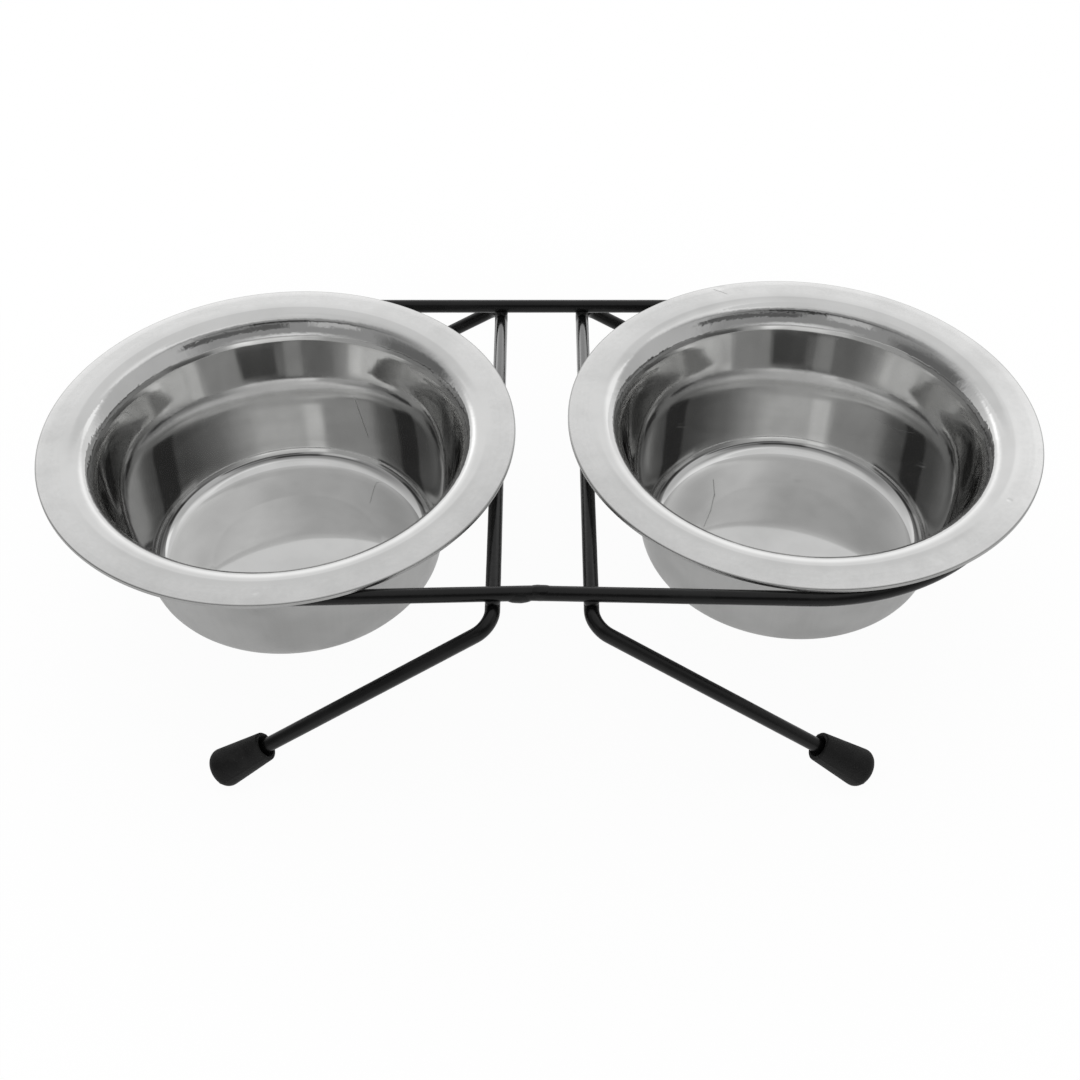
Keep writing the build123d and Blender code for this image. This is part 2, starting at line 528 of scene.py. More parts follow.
def lathe_tree():
    """Turns every spline of an outline about Z, the first with one finish and the second with another."""
    tree, start, end = new_group(
        "lathe",
        "GeometryNodeTree",
        {
            "Outline": "Geometry",
            "Corner steps": "Int",
            "Longest run": "Float",
            "Turn steps": "Int",
            "Wall ripple": "Float",
            "Flat ripple": "Float",
            "Ripple size": "Float",
            "Pucker height": "Float",
            "Pucker size": "Float",
            "Pucker middle": "Float",
            "Pucker reach": "Float",
            "Seam height": "Float",
            "Seam width": "Float",
            "Seed": "Float",
            "First finish": "Material",
            "Second finish": "Material",
        },
        {"Piece": "Geometry"},
    )
    get = start.outputs
    outline = divided(tree, rounded(tree, get["Outline"], get["Corner steps"]), get["Longest run"])
    number = add(tree, "GeometryNodeInputIndex").outputs[0]
    sides = add(
        tree,
        "GeometryNodeStoreNamedAttribute",
        {"Geometry": outline, "Name": "side", "Value": number},
        data_type="INT",
        domain="CURVE",
    )
    mesh = turned(tree, sides.outputs[0], get["Turn steps"])
    place = surface_place(tree)
    at = parts_of(tree, place)
    stretched = vector_maths(tree, "MULTIPLY", place, RIPPLE_STRETCH)
    normal = parts_of(tree, add(tree, "GeometryNodeInputNormal").outputs[0])
    level = maths(tree, "ABSOLUTE", normal["Z"])
    heights = {"Value": level, "To Min": get["Wall ripple"], "To Max": get["Flat ripple"]}
    height = add(tree, "ShaderNodeMapRange", heights).outputs[0]
    ripple = waves(tree, stretched, get["Ripple size"], get["Seed"], height, RIPPLE_DETAIL)
    folds = waves(tree, stretched, get["Pucker size"], get["Seed"], get["Pucker height"])
    near = fade(tree, apart(tree, at["Z"], get["Pucker middle"]), 0.0, get["Pucker reach"])
    across = maths(tree, "DIVIDE", at["Y"], get["Seam width"])
    bell = maths(tree, "EXPONENT", times(tree, times(tree, across, across), -1))
    seam = times(tree, bell, get["Seam height"])
    shaped = raised(tree, mesh, total(tree, ripple, times(tree, folds, near), seam))
    side = add(tree, "GeometryNodeInputNamedAttribute", {"Name": "side"}, data_type="INT").outputs[0]
    second = {
        "Geometry": finished(tree, shaped, get["First finish"]),
        "Selection": side,
        "Material": get["Second finish"],
    }
    feed(tree, end.inputs[0], add(tree, "GeometryNodeSetMaterial", second).outputs[0])
    return tree


def wire_tree():
    """A round coated wire along a path."""
    tree, start, end = new_group(
        "coated wire",
        "GeometryNodeTree",
        {
            "Path": "Geometry",
            "Wire radius": "Float",
            "Bend steps": "Int",
            "Step": "Float",
            "Round steps": "Int",
            "Coat waves": "Float",
            "Wave size": "Float",
            "Seed": "Float",
            "Finish": "Material",
        },
        {"Piece": "Geometry"},
    )
    get = start.outputs
    runs = {"Curve": rounded(tree, get["Path"], get["Bend steps"]), "Length": get["Step"]}
    even = add(tree, "GeometryNodeResampleCurve", runs, mode="LENGTH").outputs[0]
    path = add(tree, "GeometryNodeSetCurveRadius", {"Curve": even, "Radius": 1.0}).outputs[0]
    wire = swept(tree, path, circle(tree, get["Round steps"], get["Wire radius"]), fill_ends=True)
    rise = waves(tree, surface_place(tree), get["Wave size"], get["Seed"], get["Coat waves"])
    feed(tree, end.inputs[0], finished(tree, raised(tree, wire, rise), get["Finish"]))
    return tree


def weld_tree():
    """A lumpy bead of weld metal at every point."""
    tree, start, end = new_group(
        "weld beads",
        "GeometryNodeTree",
        {
            "Points": "Geometry",
            "Bead size": "Vector",
            "Lump height": "Float",
            "Lump size": "Float",
            "Seed": "Float",
            "Finish": "Material",
        },
        {"Piece": "Geometry"},
    )
    get = start.outputs
    ball = add(tree, "GeometryNodeMeshIcoSphere", {"Radius": 1.0, "Subdivisions": BEAD_SUBDIVISIONS})
    bead = {"Points": get["Points"], "Instance": ball.outputs[0], "Scale": get["Bead size"]}
    beads = add(tree, "GeometryNodeInstanceOnPoints", bead)
    metal = add(tree, "GeometryNodeRealizeInstances", {"Geometry": beads.outputs[0]}).outputs[0]
    rise = waves(tree, surface_place(tree), get["Lump size"], get["Seed"], get["Lump height"])
    feed(tree, end.inputs[0], finished(tree, raised(tree, metal, rise), get["Finish"]))
    return tree


def outline_curve(name, outlines, closed=False):
    """A curve of straight runs, one spline for each outline of (place, rounding) corners."""
    curve = bpy.data.curves.new(name, "CURVE")
    curve.dimensions = "3D"
    for outline in outlines:
        spline = curve.splines.new("POLY")
        spline.points.add(len(outline) - 1)
        spline.use_cyclic_u = closed
        for point, (place, rounding) in zip(spline.points, outline):
            point.co = (*place, 1)
            point.radius = rounding
    return curve


def shaped_mesh(source, tree, values):
    """The plain mesh that a tree makes from a curve or a mesh of points."""
    holder = bpy.data.objects.new(source.name, source)
    bpy.context.scene.collection.objects.link(holder)
    modifier = holder.modifiers.new("shape", "NODES")
    modifier.node_group = tree
    sockets = {item.name: item.identifier for item in tree.interface.items_tree if item.in_out == "INPUT"}
    for label, value in values.items():
        modifier[sockets[label]] = value
    depsgraph = bpy.context.evaluated_depsgraph_get()
    mesh = bpy.data.meshes.new_from_object(
        holder.evaluated_get(depsgraph), preserve_all_data_layers=True, depsgraph=depsgraph
    )
    bpy.data.objects.remove(holder)
    return mesh


def place_piece(name, mesh, body, slot, *nodes):
    """A finished piece that rides on a body and stands for some nodes."""
    piece = bpy.data.objects.new(name, mesh)
    bpy.context.scene.collection.objects.link(piece)
    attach(piece, body)
    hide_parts(*nodes)


# Effects on the finishes


def noise(tree, place, seed, scale=1.0, detail=PLAIN_DETAIL):
    """A noise value of about 0 to 1 at a place."""
    moved = vector_maths(tree, "MULTIPLY_ADD", SEED_STEP, seed, place)
    return add(tree, "ShaderNodeTexNoise", {"Vector": moved, "Scale": scale, "Detail": detail}).outputs[0]


def turned_place(tree, place):
    """Radius, height and direction of a place about the Z axis."""
    at = parts_of(tree, place)
    flat = joined(tree, at["X"], at["Y"])
    way = parts_of(tree, vector_maths(tree, "NORMALIZE", flat))
    return vector_maths(tree, "LENGTH", flat), at["Z"], way["X"], way["Y"]


def spun_lines_group():
    """Fine rings left by spinning and buffing a turned piece."""
    tree, start, end = new_group(
        "spun lines",
        "ShaderNodeTree",
        {"Place": "Vector", "Width": "Float", "Seed": "Float"},
        {"Lines": "Float"},
    )
    get = start.outputs
    radius, height, way_x, way_y = turned_place(tree, get["Place"])
    at = joined(
        tree,
        maths(tree, "DIVIDE", radius, get["Width"]),
        maths(tree, "DIVIDE", height, get["Width"]),
        maths(tree, "MULTIPLY_ADD", way_x, RING_DRIFT, way_y),
    )
    feed(tree, end.inputs[0], noise(tree, at, get["Seed"]))
    return tree


def drawn_streaks_group():
    """Upright streaks that drawing a sheet leaves round its wall."""
    tree, start, end = new_group(
        "drawn streaks",
        "ShaderNodeTree",
        {"Place": "Vector", "Count": "Float", "Length": "Float", "Seed": "Float"},
        {"Streaks": "Float"},
    )
    get = start.outputs
    _, height, way_x, way_y = turned_place(tree, get["Place"])
    at = joined(
        tree,
        times(tree, way_x, get["Count"]),
        times(tree, way_y, get["Count"]),
        maths(tree, "DIVIDE", height, get["Length"]),
    )
    feed(tree, end.inputs[0], noise(tree, at, get["Seed"]))
    return tree


def smudges_group():
    """Soft patches where a surface was wiped, handled or dusted."""
    tree, start, end = new_group(
        "smudges",
        "ShaderNodeTree",
        {"Place": "Vector", "Size": "Float", "Bare": "Float", "Seed": "Float"},
        {"Smudge": "Float"},
    )
    get = start.outputs
    scale = maths(tree, "DIVIDE", 1, get["Size"])
    patch = noise(tree, get["Place"], get["Seed"], scale, SMUDGE_DETAIL)
    full = maths(tree, "ADD", get["Bare"], SMUDGE_FADE)
    feed(tree, end.inputs[0], share_between(tree, patch, get["Bare"], full))
    return tree


def hairlines_group():
    """Sparse hair-thin scratches that run in two slanting directions."""
    tree, start, end = new_group(
        "hairlines",
        "ShaderNodeTree",
        {"Place": "Vector", "Length": "Float", "Spacing": "Float", "Seed": "Float"},
        {"Scratch": "Float"},
    )
    get = start.outputs
    pitch = joined(tree, get["Length"], get["Spacing"], get["Spacing"])
    found = []
    for turn in HAIRLINE_TURNS:
        slanted = {"Vector": get["Place"], "Rotation": turn}
        along = add(tree, "ShaderNodeVectorRotate", slanted, rotation_type="EULER_XYZ").outputs[0]
        at = vector_maths(tree, "DIVIDE", along, pitch)
        level = noise(tree, at, get["Seed"], detail=HAIRLINE_DETAIL)
        found.append(fade(tree, apart(tree, level, NOISE_MIDDLE), HAIRLINE_CORE, HAIRLINE_FADE))
    patch = noise(tree, get["Place"], get["Seed"], maths(tree, "DIVIDE", 1, get["Length"]))
    kept = share_between(tree, patch, HAIRLINE_BARE, HAIRLINE_FULL)
    feed(tree, end.inputs[0], times(tree, maths(tree, "MAXIMUM", *found), kept))
    return tree


def pebble_group():
    """Small rounded bumps of a sprayed or moulded skin."""
    tree, start, end = new_group(
        "pebbled skin",
        "ShaderNodeTree",
        {"Place": "Vector", "Size": "Float", "Seed": "Float"},
        {"Height": "Float"},
    )
    get = start.outputs
    scale = maths(tree, "DIVIDE", 1, get["Size"])
    cells = add(tree, "ShaderNodeTexVoronoi", {"Vector": get["Place"], "Scale": scale})
    fine = noise(tree, get["Place"], get["Seed"], scale)
    feed(tree, end.inputs[0], maths(tree, "SUBTRACT", fine, cells.outputs["Distance"]))
    return tree


def specks_group():
    """Scattered dots of dust."""
    tree, start, end = new_group(
        "specks",
        "ShaderNodeTree",
        {"Place": "Vector", "Spacing": "Float", "Dot": "Float"},
        {"Specks": "Float"},
    )
    get = start.outputs
    scale = maths(tree, "DIVIDE", 1, get["Spacing"])
    cells = add(tree, "ShaderNodeTexVoronoi", {"Vector": get["Place"], "Scale": scale}).outputs
    chance = add(tree, "ShaderNodeSeparateColor", {0: cells["Color"]}).outputs[0]
    own_size = times(tree, get["Dot"], chance)
    feed(tree, end.inputs[0], maths(tree, "LESS_THAN", cells["Distance"], own_size))
    return tree


def scored_line_group():
    """One straight score on a surface, where it is cut by a thin slab."""
    tree, start, end = new_group(
        "scored line",
        "ShaderNodeTree",
        {"Place": "Vector", "Middle": "Vector", "Across": "Vector", "Half length": "Float", "Width": "Float"},
        {"Score": "Float"},
    )
    get = start.outputs
    offset = vector_maths(tree, "SUBTRACT", get["Place"], get["Middle"])
    aside = maths(tree, "ABSOLUTE", vector_maths(tree, "DOT_PRODUCT", offset, get["Across"]))
    thin = fade(tree, aside, 0.0, get["Width"])
    taper = times(tree, get["Half length"], SCORE_TAPER_FROM)
    short = fade(tree, vector_maths(tree, "LENGTH", offset), taper, get["Half length"])
    feed(tree, end.inputs[0], times(tree, thin, short))
    return tree


def knock_group():
    """One shallow dent from a knock."""
    tree, start, end = new_group(
        "knock",
        "ShaderNodeTree",
        {"Place": "Vector", "Middle": "Vector", "Reach": "Float"},
        {"Dent": "Float"},
    )
    get = start.outputs
    away = vector_maths(tree, "LENGTH", vector_maths(tree, "SUBTRACT", get["Place"], get["Middle"]))
    feed(tree, end.inputs[0], fade(tree, away, 0.0, get["Reach"]))
    return tree


# Finishes


def new_material(name):
    """A material, its node tree and its Principled shader."""
    material = bpy.data.materials.new(name)
    material.use_nodes = True
    tree = material.node_tree
    return material, tree, tree.nodes["Principled BSDF"]


def piece_place(tree, centre=(0, 0, 0)):
    """Places on a piece, measured from a centre."""
    place = add(tree, "ShaderNodeTexCoord").outputs["Object"]
    return add(tree, "ShaderNodeMapping", {"Vector": place, "Location": -Vector(centre)}).outputs[0]


def use(tree, group, inputs):
    """The output of a node group with its own values."""
    return add(tree, "ShaderNodeGroup", inputs, node_tree=group).outputs[0]


def marks_on(tree, place, effects, marks, **shared):
    """The marks of a finish by name."""
    return {
        name: use(tree, effects[effect], {"Place": place, **sizes, **shared})
        for name, (effect, sizes) in marks.items()
    }


def combined(tree, marks, shares):
    """The sum of some marks, each times its share."""
    return total(tree, *(times(tree, marks[name], share) for name, share in shares.items()))


def tone(tree, share, first, second):
    """A colour between two, by share."""
    node = add(tree, "ShaderNodeMix", data_type="RGBA")
    feed(tree, node.inputs["Factor"], share)
    colours = [socket for socket in node.inputs if socket.type == "RGBA"]
    for socket, colour in zip(colours, (first, second)):
        feed(tree, socket, colour if isinstance(colour, bpy.types.NodeSocket) else (*colour, 1))
    return next(socket for socket in node.outputs if socket.type == "RGBA")


def dress(tree, shader, colour, roughness, relief):
    """Gives a shader its colour, its roughness and a relief in microns."""
    bump = add(tree, "ShaderNodeBump", {"Height": relief, "Strength": 1.0, "Distance": MICRON})
    feed(tree, shader.inputs["Base Color"], colour)
    feed(tree, shader.inputs["Roughness"], roughness)
    feed(tree, shader.inputs["Normal"], bump.outputs[0])


def scores_on(tree, place, side_name, effects):
    """The scores of one bowl."""
    scores = []
    for at, across, half_length in SCORES[side_name]:
        score = {
            "Place": place,
            "Middle": Vector(at) * MM,
            "Across": Vector(across).normalized(),
            "Half length": half_length * MM,
            "Width": SCORE_WIDTH,
        }
        scores.append(use(tree, effects["scored line"], score))
    return total(tree, *scores)


def knocks_on(tree, place, side_name, effects):
    """The dents of one bowl."""
    knocks = []
    for at, reach in KNOCKS[side_name]:
        knock = {"Place": place, "Middle": Vector(at) * MM, "Reach": reach * MM}
        knocks.append(use(tree, effects["knock"], knock))
    return total(tree, *knocks)


def polished_steel(side_name, centre, rim_radius, floor_level, effects):
    """Food side of a bowl: buffed inside, satin on its flange, with a few marks of use and painted shade
    darkening its lip.
    """
    material, tree, shader = new_material(f"{side_name} bowl polished steel")
    place = piece_place(tree, centre)
    radius, level = turned_place(tree, place)[:2]
    opening = rim_radius - FLANGE_WIDTH
    wall = share_between(tree, level, floor_level + STREAKS_FROM, floor_level + STREAKS_FULL)
    mouth = fade(tree, apart(tree, level, -CHATTER_DEPTH), CHATTER_REACH / 2, CHATTER_REACH)
    flange = share_between(tree, radius, opening + SATIN_FROM, opening + SATIN_FULL)
    # Painted shade: the outermost rim and the lip are darkened to the dulled steel colour, standing in for
    # the lip's shadow
    edge = share_between(tree, radius, rim_radius - LIP_SHADE_FROM, rim_radius - LIP_SHADE_FULL)
    marks = marks_on(tree, place, effects, INSIDE_MARKS, Seed=INSIDE_SEED + SIDES[side_name])
    marks["flange"] = flange
    marks["edge"] = edge
    marks["flange lines"] = times(tree, flange, marks["lines"])
    marks["flange grain"] = times(tree, flange, marks["grain"])
    marks["wall streaks"] = times(tree, wall, marks["streaks"])
    marks["mouth chatter"] = times(tree, mouth, marks["chatter"])
    marks["score"] = scores_on(tree, place, side_name, effects)
    marks["knock"] = knocks_on(tree, place, side_name, effects)
    bright = tone(tree, flange, INSIDE_STEEL, FLANGE_STEEL)
    colour = tone(tree, combined(tree, marks, INSIDE_DULLED_AND_SHADED), bright, DULLED_AND_SHADED_STEEL)
    roughness = total(tree, POLISH, combined(tree, marks, INSIDE_ROUGHENED))
    dress(tree, shader, colour, roughness, combined(tree, marks, INSIDE_RELIEF))
    shader.inputs["Metallic"].default_value = 1.0
    return material


def satin_steel(side_name, centre, effects):
    """Back of a bowl's sheet: satin, with the streaks and rings of its drawing."""
    material, tree, shader = new_material(f"{side_name} bowl satin steel")
    place = piece_place(tree, centre)
    marks = marks_on(tree, place, effects, OUTSIDE_MARKS, Seed=OUTSIDE_SEED + SIDES[side_name])
    colour = tone(tree, combined(tree, marks, OUTSIDE_STREAKED), OUTSIDE_STEEL, OUTSIDE_DULLED)
    roughness = total(tree, OUTSIDE_SATIN, combined(tree, marks, OUTSIDE_ROUGHENED))
    dress(tree, shader, colour, roughness, combined(tree, marks, OUTSIDE_RELIEF))
    shader.inputs["Metallic"].default_value = 1.0
    return material


def wire_coating(effects):
    """Glossy black coating with a slight orange peel, dulled here and there and rubbed where it is held."""
    material, tree, shader = new_material("black wire coating")
    place = piece_place(tree)
    marks = marks_on(tree, place, effects, COAT_MARKS)
    colour = tone(tree, combined(tree, marks, COAT_DULLED), COAT_BLACK, COAT_WORN)
    roughness = total(tree, COAT_GLOSS, combined(tree, marks, COAT_ROUGHENED))
    dress(tree, shader, colour, roughness, combined(tree, marks, COAT_RELIEF))
    shader.inputs["Specular IOR Level"].default_value = COAT_SHINE
    at = parts_of(tree, place)
    held = fade(tree, maths(tree, "ABSOLUTE", at["X"]), HAND_GAP_HALF, HAND_GAP_HALF + HAND_FADE)
    behind = share_between(tree, at["Y"], 0.0, HAND_REACH)
    before_rail = fade(tree, at["Y"], ring_radius - HAND_FADE, ring_radius - HAND_FADE / 2)
    feed(tree, shader.inputs["Coat Weight"], times(tree, held, times(tree, behind, before_rail)))
    shader.inputs["Coat Roughness"].default_value = HAND_GLOSS
    shader.inputs["Coat IOR"].default_value = HAND_GLOSS_IOR
    return material


def cap_rubber(effects):
    """Matte black moulded rubber, dusty where it is handled and greyed where it stands on the floor."""
    material, tree, shader = new_material("foot cap rubber")
    place = piece_place(tree)
    marks = marks_on(tree, place, effects, RUBBER_MARKS)
    marks["sole"] = fade(tree, parts_of(tree, place)["Z"], 0.0, SOLE_GREY)
    colour = tone(tree, combined(tree, marks, RUBBER_GREYED), RUBBER_BLACK, RUBBER_DUSTY)
    roughness = total(tree, RUBBER_MATTE, combined(tree, marks, RUBBER_ROUGHENED))
    dress(tree, shader, colour, roughness, combined(tree, marks, RUBBER_RELIEF))
    shader.inputs["Specular IOR Level"].default_value = RUBBER_SHINE
    return material


# Pieces


def bowl_corners(rim_radius, depth):
    """Corners of the food side from the middle of the floor to the lip, with the rim's top at height 0."""
    bevel = rim_radius - FLANGE_WIDTH
    throat = bevel - BEVEL_WIDTH
    mouth = throat - MOUTH_WIDTH
    floor_edge = mouth - WALL_TAPER
    floor_z = SHEET - depth
    return [
        ((0, floor_z), 0),
        ((floor_edge - FLOOR_BAND_WIDTH, floor_z), FLOOR_CREASE_RADIUS),
        ((floor_edge, floor_z + FLOOR_BAND_RISE), FLOOR_CORNER_RADIUS),
        ((mouth, -BEVEL_DROP - MOUTH_DROP), MOUTH_RADIUS),
        ((throat, -BEVEL_DROP), THROAT_RADIUS),
        ((bevel, 0), BEVEL_RADIUS),
        ((rim_radius - EDGE_WIDTH, -EDGE_DROP), EDGE_RADIUS),
        ((rim_radius, -EDGE_FALL), LIP_RADIUS),
        ((rim_radius, -LIP_DEPTH), 0),
    ]


def offset_corners(corners, gap):
    """The same corners moved by gap to the right of the way they run, with their roundings to match."""
    points = [Vector(place) for place, _ in corners]
    ways = [(after - before).normalized() for before, after in zip(points, points[1:])]
    ways = [ways[0], *ways, ways[-1]]
    moved = []
    for point, (_, rounding), come, leave in zip(points, corners, ways, ways[1:]):
        right = Vector((come.y + leave.y, -come.x - leave.x)) / (1 + come.dot(leave))
        turn = 1 if come.cross(leave) > 0 else -1
        moved.append((point + right * gap, rounding and rounding + turn * gap))
    return moved


def upright(corners):
    """Corners of (radius, height) set up in the XZ plane."""
    return [((place[0], 0, place[1]), rounding) for place, rounding in corners]


def make_bowl(side_name, tree, effects):
    """One bowl, turned from the two sides of its sheet."""
    node = f"bowl_{side_name}"
    low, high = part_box(node)
    centre = Vector(((low.x + high.x) / 2, (low.y + high.y) / 2, high.z))
    rim_radius = (high.x - low.x) / 2
    food_side = bowl_corners(rim_radius, high.z - low.z)
    back_side = [food_side[-1], *reversed(offset_corners(food_side, SHEET))]
    own = {
        "Seed": BOWL_SEED + SIDES[side_name],
        "First finish": polished_steel(side_name, centre, rim_radius, low.z - high.z, effects),
        "Second finish": satin_steel(side_name, centre, effects),
    }
    outline = outline_curve(node + "_outline", [upright(food_side), upright(back_side)])
    mesh = shaped_mesh(outline, tree, {**BOWL_SHAPING, **own})
    mesh.transform(Matrix.Translation(centre))
    mesh.set_sharp_from_angle(angle=SHARP_ANGLE)
    place_piece(f"{side_name}_bowl_sheet", mesh, f"{side_name}_bowl", "bowl_steel", node)


def loop_corners():
    """Corners of the loop: the back run's ends, the front ends and the kink at the butt weld."""
    kink = butt_weld_at
    fronts = []
    for side in (1, -1):
        centre = Vector((side * (tip_x - ring_radius), 0, rail_z))
        to_kink = kink - centre
        angle = atan2(to_kink.y, to_kink.x) + side * acos(ring_radius / to_kink.length)
        touch = centre + Vector((cos(angle), sin(angle), 0)) * ring_radius
        share = (side * tip_x - kink.x) / (touch.x - kink.x)
        fronts.append((kink + (touch - kink) * share, ring_radius))
    return [
        ((-tip_x, ring_radius, rail_z), ring_radius),
        ((tip_x, ring_radius, rail_z), ring_radius),
        fronts[0],
        (kink, KINK_RADIUS),
        fronts[1],
    ]


def leg_way(side, end):
    """The way a leg runs from its bend down to its foot."""
    flat = cos(LEG_SLOPE)
    return Vector((side * flat * cos(LEG_SPLAY), end * flat * sin(LEG_SPLAY), -sin(LEG_SLOPE)))


def leg_tip(side_name, end_name):
    """Middle of a leg's end face, from the box of its wire."""
    low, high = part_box(f"leg_wire_{side_name}")
    side, end = SIDES[side_name], ENDS[end_name]
    reach = [wire_radius * sqrt(1 - part * part) for part in leg_way(side, end)]
    x = high.x - reach[0] if side > 0 else low.x + reach[0]
    y = high.y - reach[1] if end > 0 else low.y + reach[1]
    return Vector((x, y, low.z + reach[2]))


def leg_corners(side_name):
    """Front foot, the two bends and back foot of one leg wire."""
    crossbar_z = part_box(f"leg_wire_{side_name}")[1].z - wire_radius
    corners = []
    for end_name, end in ENDS.items():
        tip = leg_tip(side_name, end_name)
        way = leg_way(SIDES[side_name], end)
        bend = tip + way * ((crossbar_z - tip.z) / way.z)
        corners.append([(tip, 0), (bend, LEG_BEND_RADIUS)])
    return [*corners[0], *reversed(corners[1])]


def make_wire(name, corners, closed, tree, finish, seed, node):
    """One coated wire, swept along its corners."""
    path = outline_curve(name + "_path", [corners], closed)
    own = {"Wire radius": wire_radius, "Seed": seed, "Finish": finish}
    mesh = shaped_mesh(path, tree, {**WIRE_SHAPING, **own})
    place_piece(name, mesh, "stand", "coated_wire", node)


def make_welds(tree, finish):
    """Beads where the crossbars cross the loop, and over the loop's joined ends."""
    crossings = [f"weld_{end}_{side}" for side in SIDES for end in ENDS]
    for name, size, places, nodes in (
        ("crossing_welds", CROSSING_BEAD, [middle(node) for node in crossings], crossings),
        ("loop_butt_weld", BUTT_BEAD, [butt_weld_at + step for step in BUTT_STEPS], ["rail_butt_weld"]),
    ):
        points = bpy.data.meshes.new(name + "_points")
        points.from_pydata(places, [], [])
        own = {"Bead size": size, "Seed": WELD_SEED, "Finish": finish}
        mesh = shaped_mesh(points, tree, {**WELD_SHAPING, **own})
        place_piece(name, mesh, "stand", "coated_wire", *nodes)


def cap_corners():
    """Outline of a cap from the bottom of its bore round its mouth to the middle of its sole, mouth up."""
    mouth_z = CAP_LENGTH - CAP_SOLE
    funnel = wire_radius + CAP_FUNNEL_GAP
    mouth = funnel + CAP_MOUTH_WALL
    bore = wire_radius - CAP_GRIP
    return [
        ((0, 0), 0),
        ((bore, 0), CAP_BORE_RADIUS),
        ((bore, mouth_z - CAP_FUNNEL_DEPTH), CAP_MOUTH_RADIUS),
        ((funnel, mouth_z), CAP_MOUTH_RADIUS / 2),
        ((mouth, mouth_z), CAP_MOUTH_RADIUS),
        ((mouth + CAP_FLARE, -CAP_SOLE), CAP_END_RADIUS),
        ((0, -CAP_SOLE), 0),
    ]


def make_cap(side_name, end_name, tree, finish):
    """One rubber cap on its leg, worn flat where it stands on the floor."""
    node = f"foot_cap_{end_name}_{side_name}"
    side, end = SIDES[side_name], ENDS[end_name]
    seed = CAP_SEED + side + CAP_END_STEP * end
    own = {"Seed": seed, "First finish": finish, "Second finish": finish}
    outline = outline_curve(node + "_outline", [upright(cap_corners())])
    mesh = shaped_mesh(outline, tree, {**CAP_SHAPING, **own})
    turn = (-leg_way(side, end)).to_track_quat("Z", "Y").to_matrix().to_4x4()
    mesh.transform(Matrix.Translation(leg_tip(side_name, end_name)) @ turn)
    for vertex in mesh.vertices:
        vertex.co.z = max(vertex.co.z, 0)
    place_piece(f"{end_name}_{side_name}_cap", mesh, "stand", "rubber", node)


# Studio


def make_floor():
    """A pale floor that keeps the shadow and fades to white away from the object."""
    mesh = bpy.data.meshes.new("studio_floor")
    corners = [(x * FLOOR_REACH, y * FLOOR_REACH, 0) for x, y in ((-1, -1), (1, -1), (1, 1), (-1, 1))]
    mesh.from_pydata(corners, [], [(0, 1, 2, 3)])
    floor = bpy.data.objects.new("studio_floor", mesh)
    bpy.context.scene.collection.objects.link(floor)
    material = bpy.data.materials.new("studio floor")
    material.use_nodes = True
    tree = material.node_tree
    tree.nodes.clear()
    path = add(tree, "ShaderNodeLightPath").outputs
    away = turned_place(tree, piece_place(tree))[0]
    far = share_between(tree, away, FLOOR_FADE_FROM, FLOOR_FADE_TO)
    white_share = maths(tree, "MULTIPLY_ADD", far, 1 - FLOOR_WHITE_NEAR, FLOOR_WHITE_NEAR)
    seen = times(tree, path["Is Camera Ray"], white_share)
    mirroring = maths(tree, "MAXIMUM", path["Is Glossy Ray"], path["Is Transmission Ray"])
    dimming = FLOOR_MIRRORED_FAR - FLOOR_MIRRORED_NEAR
    mirrored_share = maths(tree, "MULTIPLY_ADD", far, dimming, FLOOR_MIRRORED_NEAR)
    share = maths(tree, "MAXIMUM", seen, times(tree, mirroring, mirrored_share))
    lit = add(tree, "ShaderNodeBsdfDiffuse", {"Color": FLOOR_PALE})
    white = add(tree, "ShaderNodeEmission", {"Color": WHITE, "Strength": 1.0})
    mixed = add(tree, "ShaderNodeMixShader", {0: share, 1: lit.outputs[0], 2: white.outputs[0]})
    add(tree, "ShaderNodeOutputMaterial", {"Surface": mixed.outputs[0]})
    mesh.materials.append(material)


def studio_panel_group():
    """A soft-edged panel of the studio, over the light behind it. Angles are in radians."""
    tree, start, end = new_group(
        "studio panel",
        "ShaderNodeTree",
        {
            "Behind": "Float",
            "Direction": "Vector",
            **{label: "Float" for label in PANEL_ANGLES},
            "Brightness": "Float",
        },
        {"Light": "Float"},
    )
    get = start.outputs
    ahead = {"Vector": get["Direction"], "Angle": get["Middle"]}
    at = parts_of(tree, add(tree, "ShaderNodeVectorRotate", ahead, rotation_type="Z_AXIS").outputs[0])
    aside = maths(tree, "ABSOLUTE", maths(tree, "ARCTAN2", at["X"], at["Y"]))
    rise = maths(tree, "ARCSINE", at["Z"])
    cover = 1.0
    for most, least, softness in (
        (get["Half width"], aside, get["Side softness"]),
        (rise, get["Lowest"], get["Edge softness"]),
        (get["Highest"], rise, get["Edge softness"]),
    ):
        inside = maths(tree, "SUBTRACT", most, least)
        half = maths(tree, "DIVIDE", softness, 2)
        cover = times(tree, cover, share_between(tree, inside, times(tree, half, -1), half))
    change = maths(tree, "SUBTRACT", get["Brightness"], get["Behind"])
    feed(tree, end.inputs[0], maths(tree, "MULTIPLY_ADD", cover, change, get["Behind"]))
    return tree


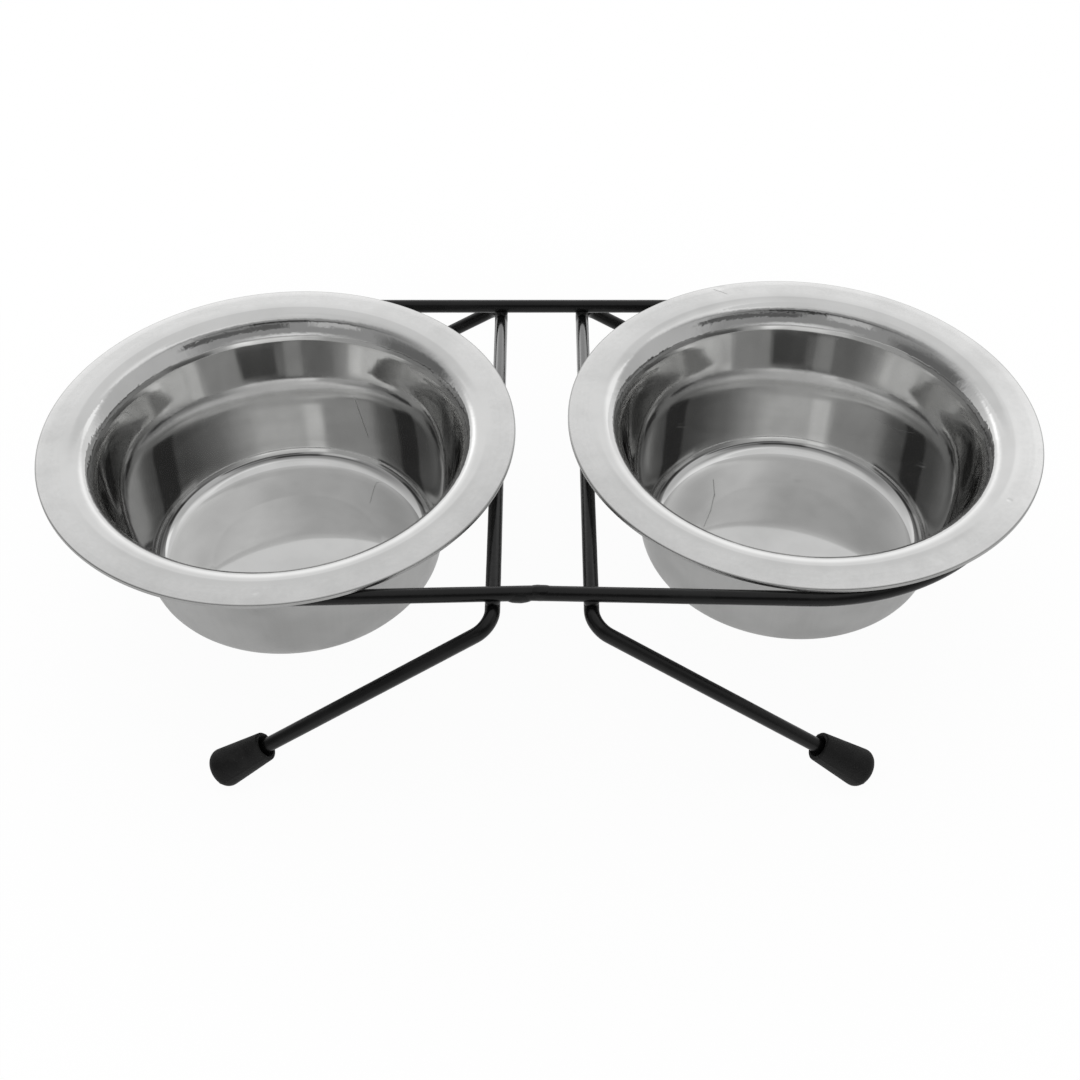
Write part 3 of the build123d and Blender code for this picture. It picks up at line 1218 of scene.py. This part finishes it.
def make_world():
    """White for the camera, the studio's panels for what mirrors it, and an even glow for the rest."""
    world = bpy.data.worlds.new("studio")
    world.use_nodes = True
    bpy.context.scene.world = world
    tree = world.node_tree
    background = tree.nodes["Background"]
    direction = add(tree, "ShaderNodeTexCoord").outputs["Generated"]
    group = studio_panel_group()
    light = 1.0
    for *degrees, brightness in STUDIO_PANELS.values():
        panel = {label: radians(angle) for label, angle in zip(PANEL_ANGLES, degrees)}
        panel.update({"Behind": light, "Direction": direction, "Brightness": brightness})
        light = use(tree, group, panel)
    path = add(tree, "ShaderNodeLightPath").outputs
    white = maths(tree, "MAXIMUM", path["Is Camera Ray"], path["Is Transmission Ray"])
    glow = maths(tree, "MULTIPLY_ADD", white, 1 - WORLD_GLOW, WORLD_GLOW)
    mirrored = times(tree, path["Is Glossy Ray"], maths(tree, "SUBTRACT", light, glow))
    background.inputs["Color"].default_value = WHITE
    feed(tree, background.inputs["Strength"], maths(tree, "ADD", glow, mirrored))


def make_softbox():
    """The overhead lamp, aimed at the object. The steel mirrors the studio's panels instead of it."""
    light = bpy.data.lights.new("overhead softbox", "AREA")
    light.shape = "RECTANGLE"
    light.size = SOFTBOX_WIDTH
    light.size_y = SOFTBOX_DEPTH
    light.energy = SOFTBOX_RADIANCE * pi * SOFTBOX_WIDTH * SOFTBOX_DEPTH
    lamp = bpy.data.objects.new("overhead softbox", light)
    lamp.location = SOFTBOX_PLACE
    lamp.rotation_euler = (-SOFTBOX_PLACE).to_track_quat("-Z", "Y").to_euler()
    lamp.visible_glossy = False
    bpy.context.scene.collection.objects.link(lamp)


def make_camera():
    """The photograph's camera."""
    data = bpy.data.cameras.new("camera")
    data.lens = CAMERA_LENS
    data.sensor_width = CAMERA_SENSOR
    camera = bpy.data.objects.new("camera", data)
    camera.location = CAMERA_EYE
    camera.rotation_euler = (CAMERA_PITCH, 0, 0)
    bpy.context.scene.collection.objects.link(camera)
    bpy.context.scene.camera = camera


effects = {
    tree.name: tree
    for tree in (
        spun_lines_group(),
        drawn_streaks_group(),
        smudges_group(),
        hairlines_group(),
        pebble_group(),
        specks_group(),
        scored_line_group(),
        knock_group(),
    )
}
coating = wire_coating(effects)
rubber = cap_rubber(effects)

lathe = lathe_tree()
sweep = wire_tree()
for side_name in SIDES:
    make_bowl(side_name, lathe, effects)
make_wire("coated_loop", loop_corners(), True, sweep, coating, LOOP_SEED, "rail_loop")
for side_name, seed in LEG_SEEDS.items():
    name = f"coated_{side_name}_leg_wire"
    make_wire(name, leg_corners(side_name), False, sweep, coating, seed, f"leg_wire_{side_name}")
    for end_name in ENDS:
        make_cap(side_name, end_name, lathe, rubber)
make_welds(weld_tree(), coating)

make_floor()
make_world()
make_softbox()
make_camera()
bpy.context.scene.view_settings.view_transform = "Standard"
bpy.context.scene.cycles.max_bounces = MIRROR_BOUNCES
bpy.context.scene.cycles.glossy_bounces = MIRROR_BOUNCES
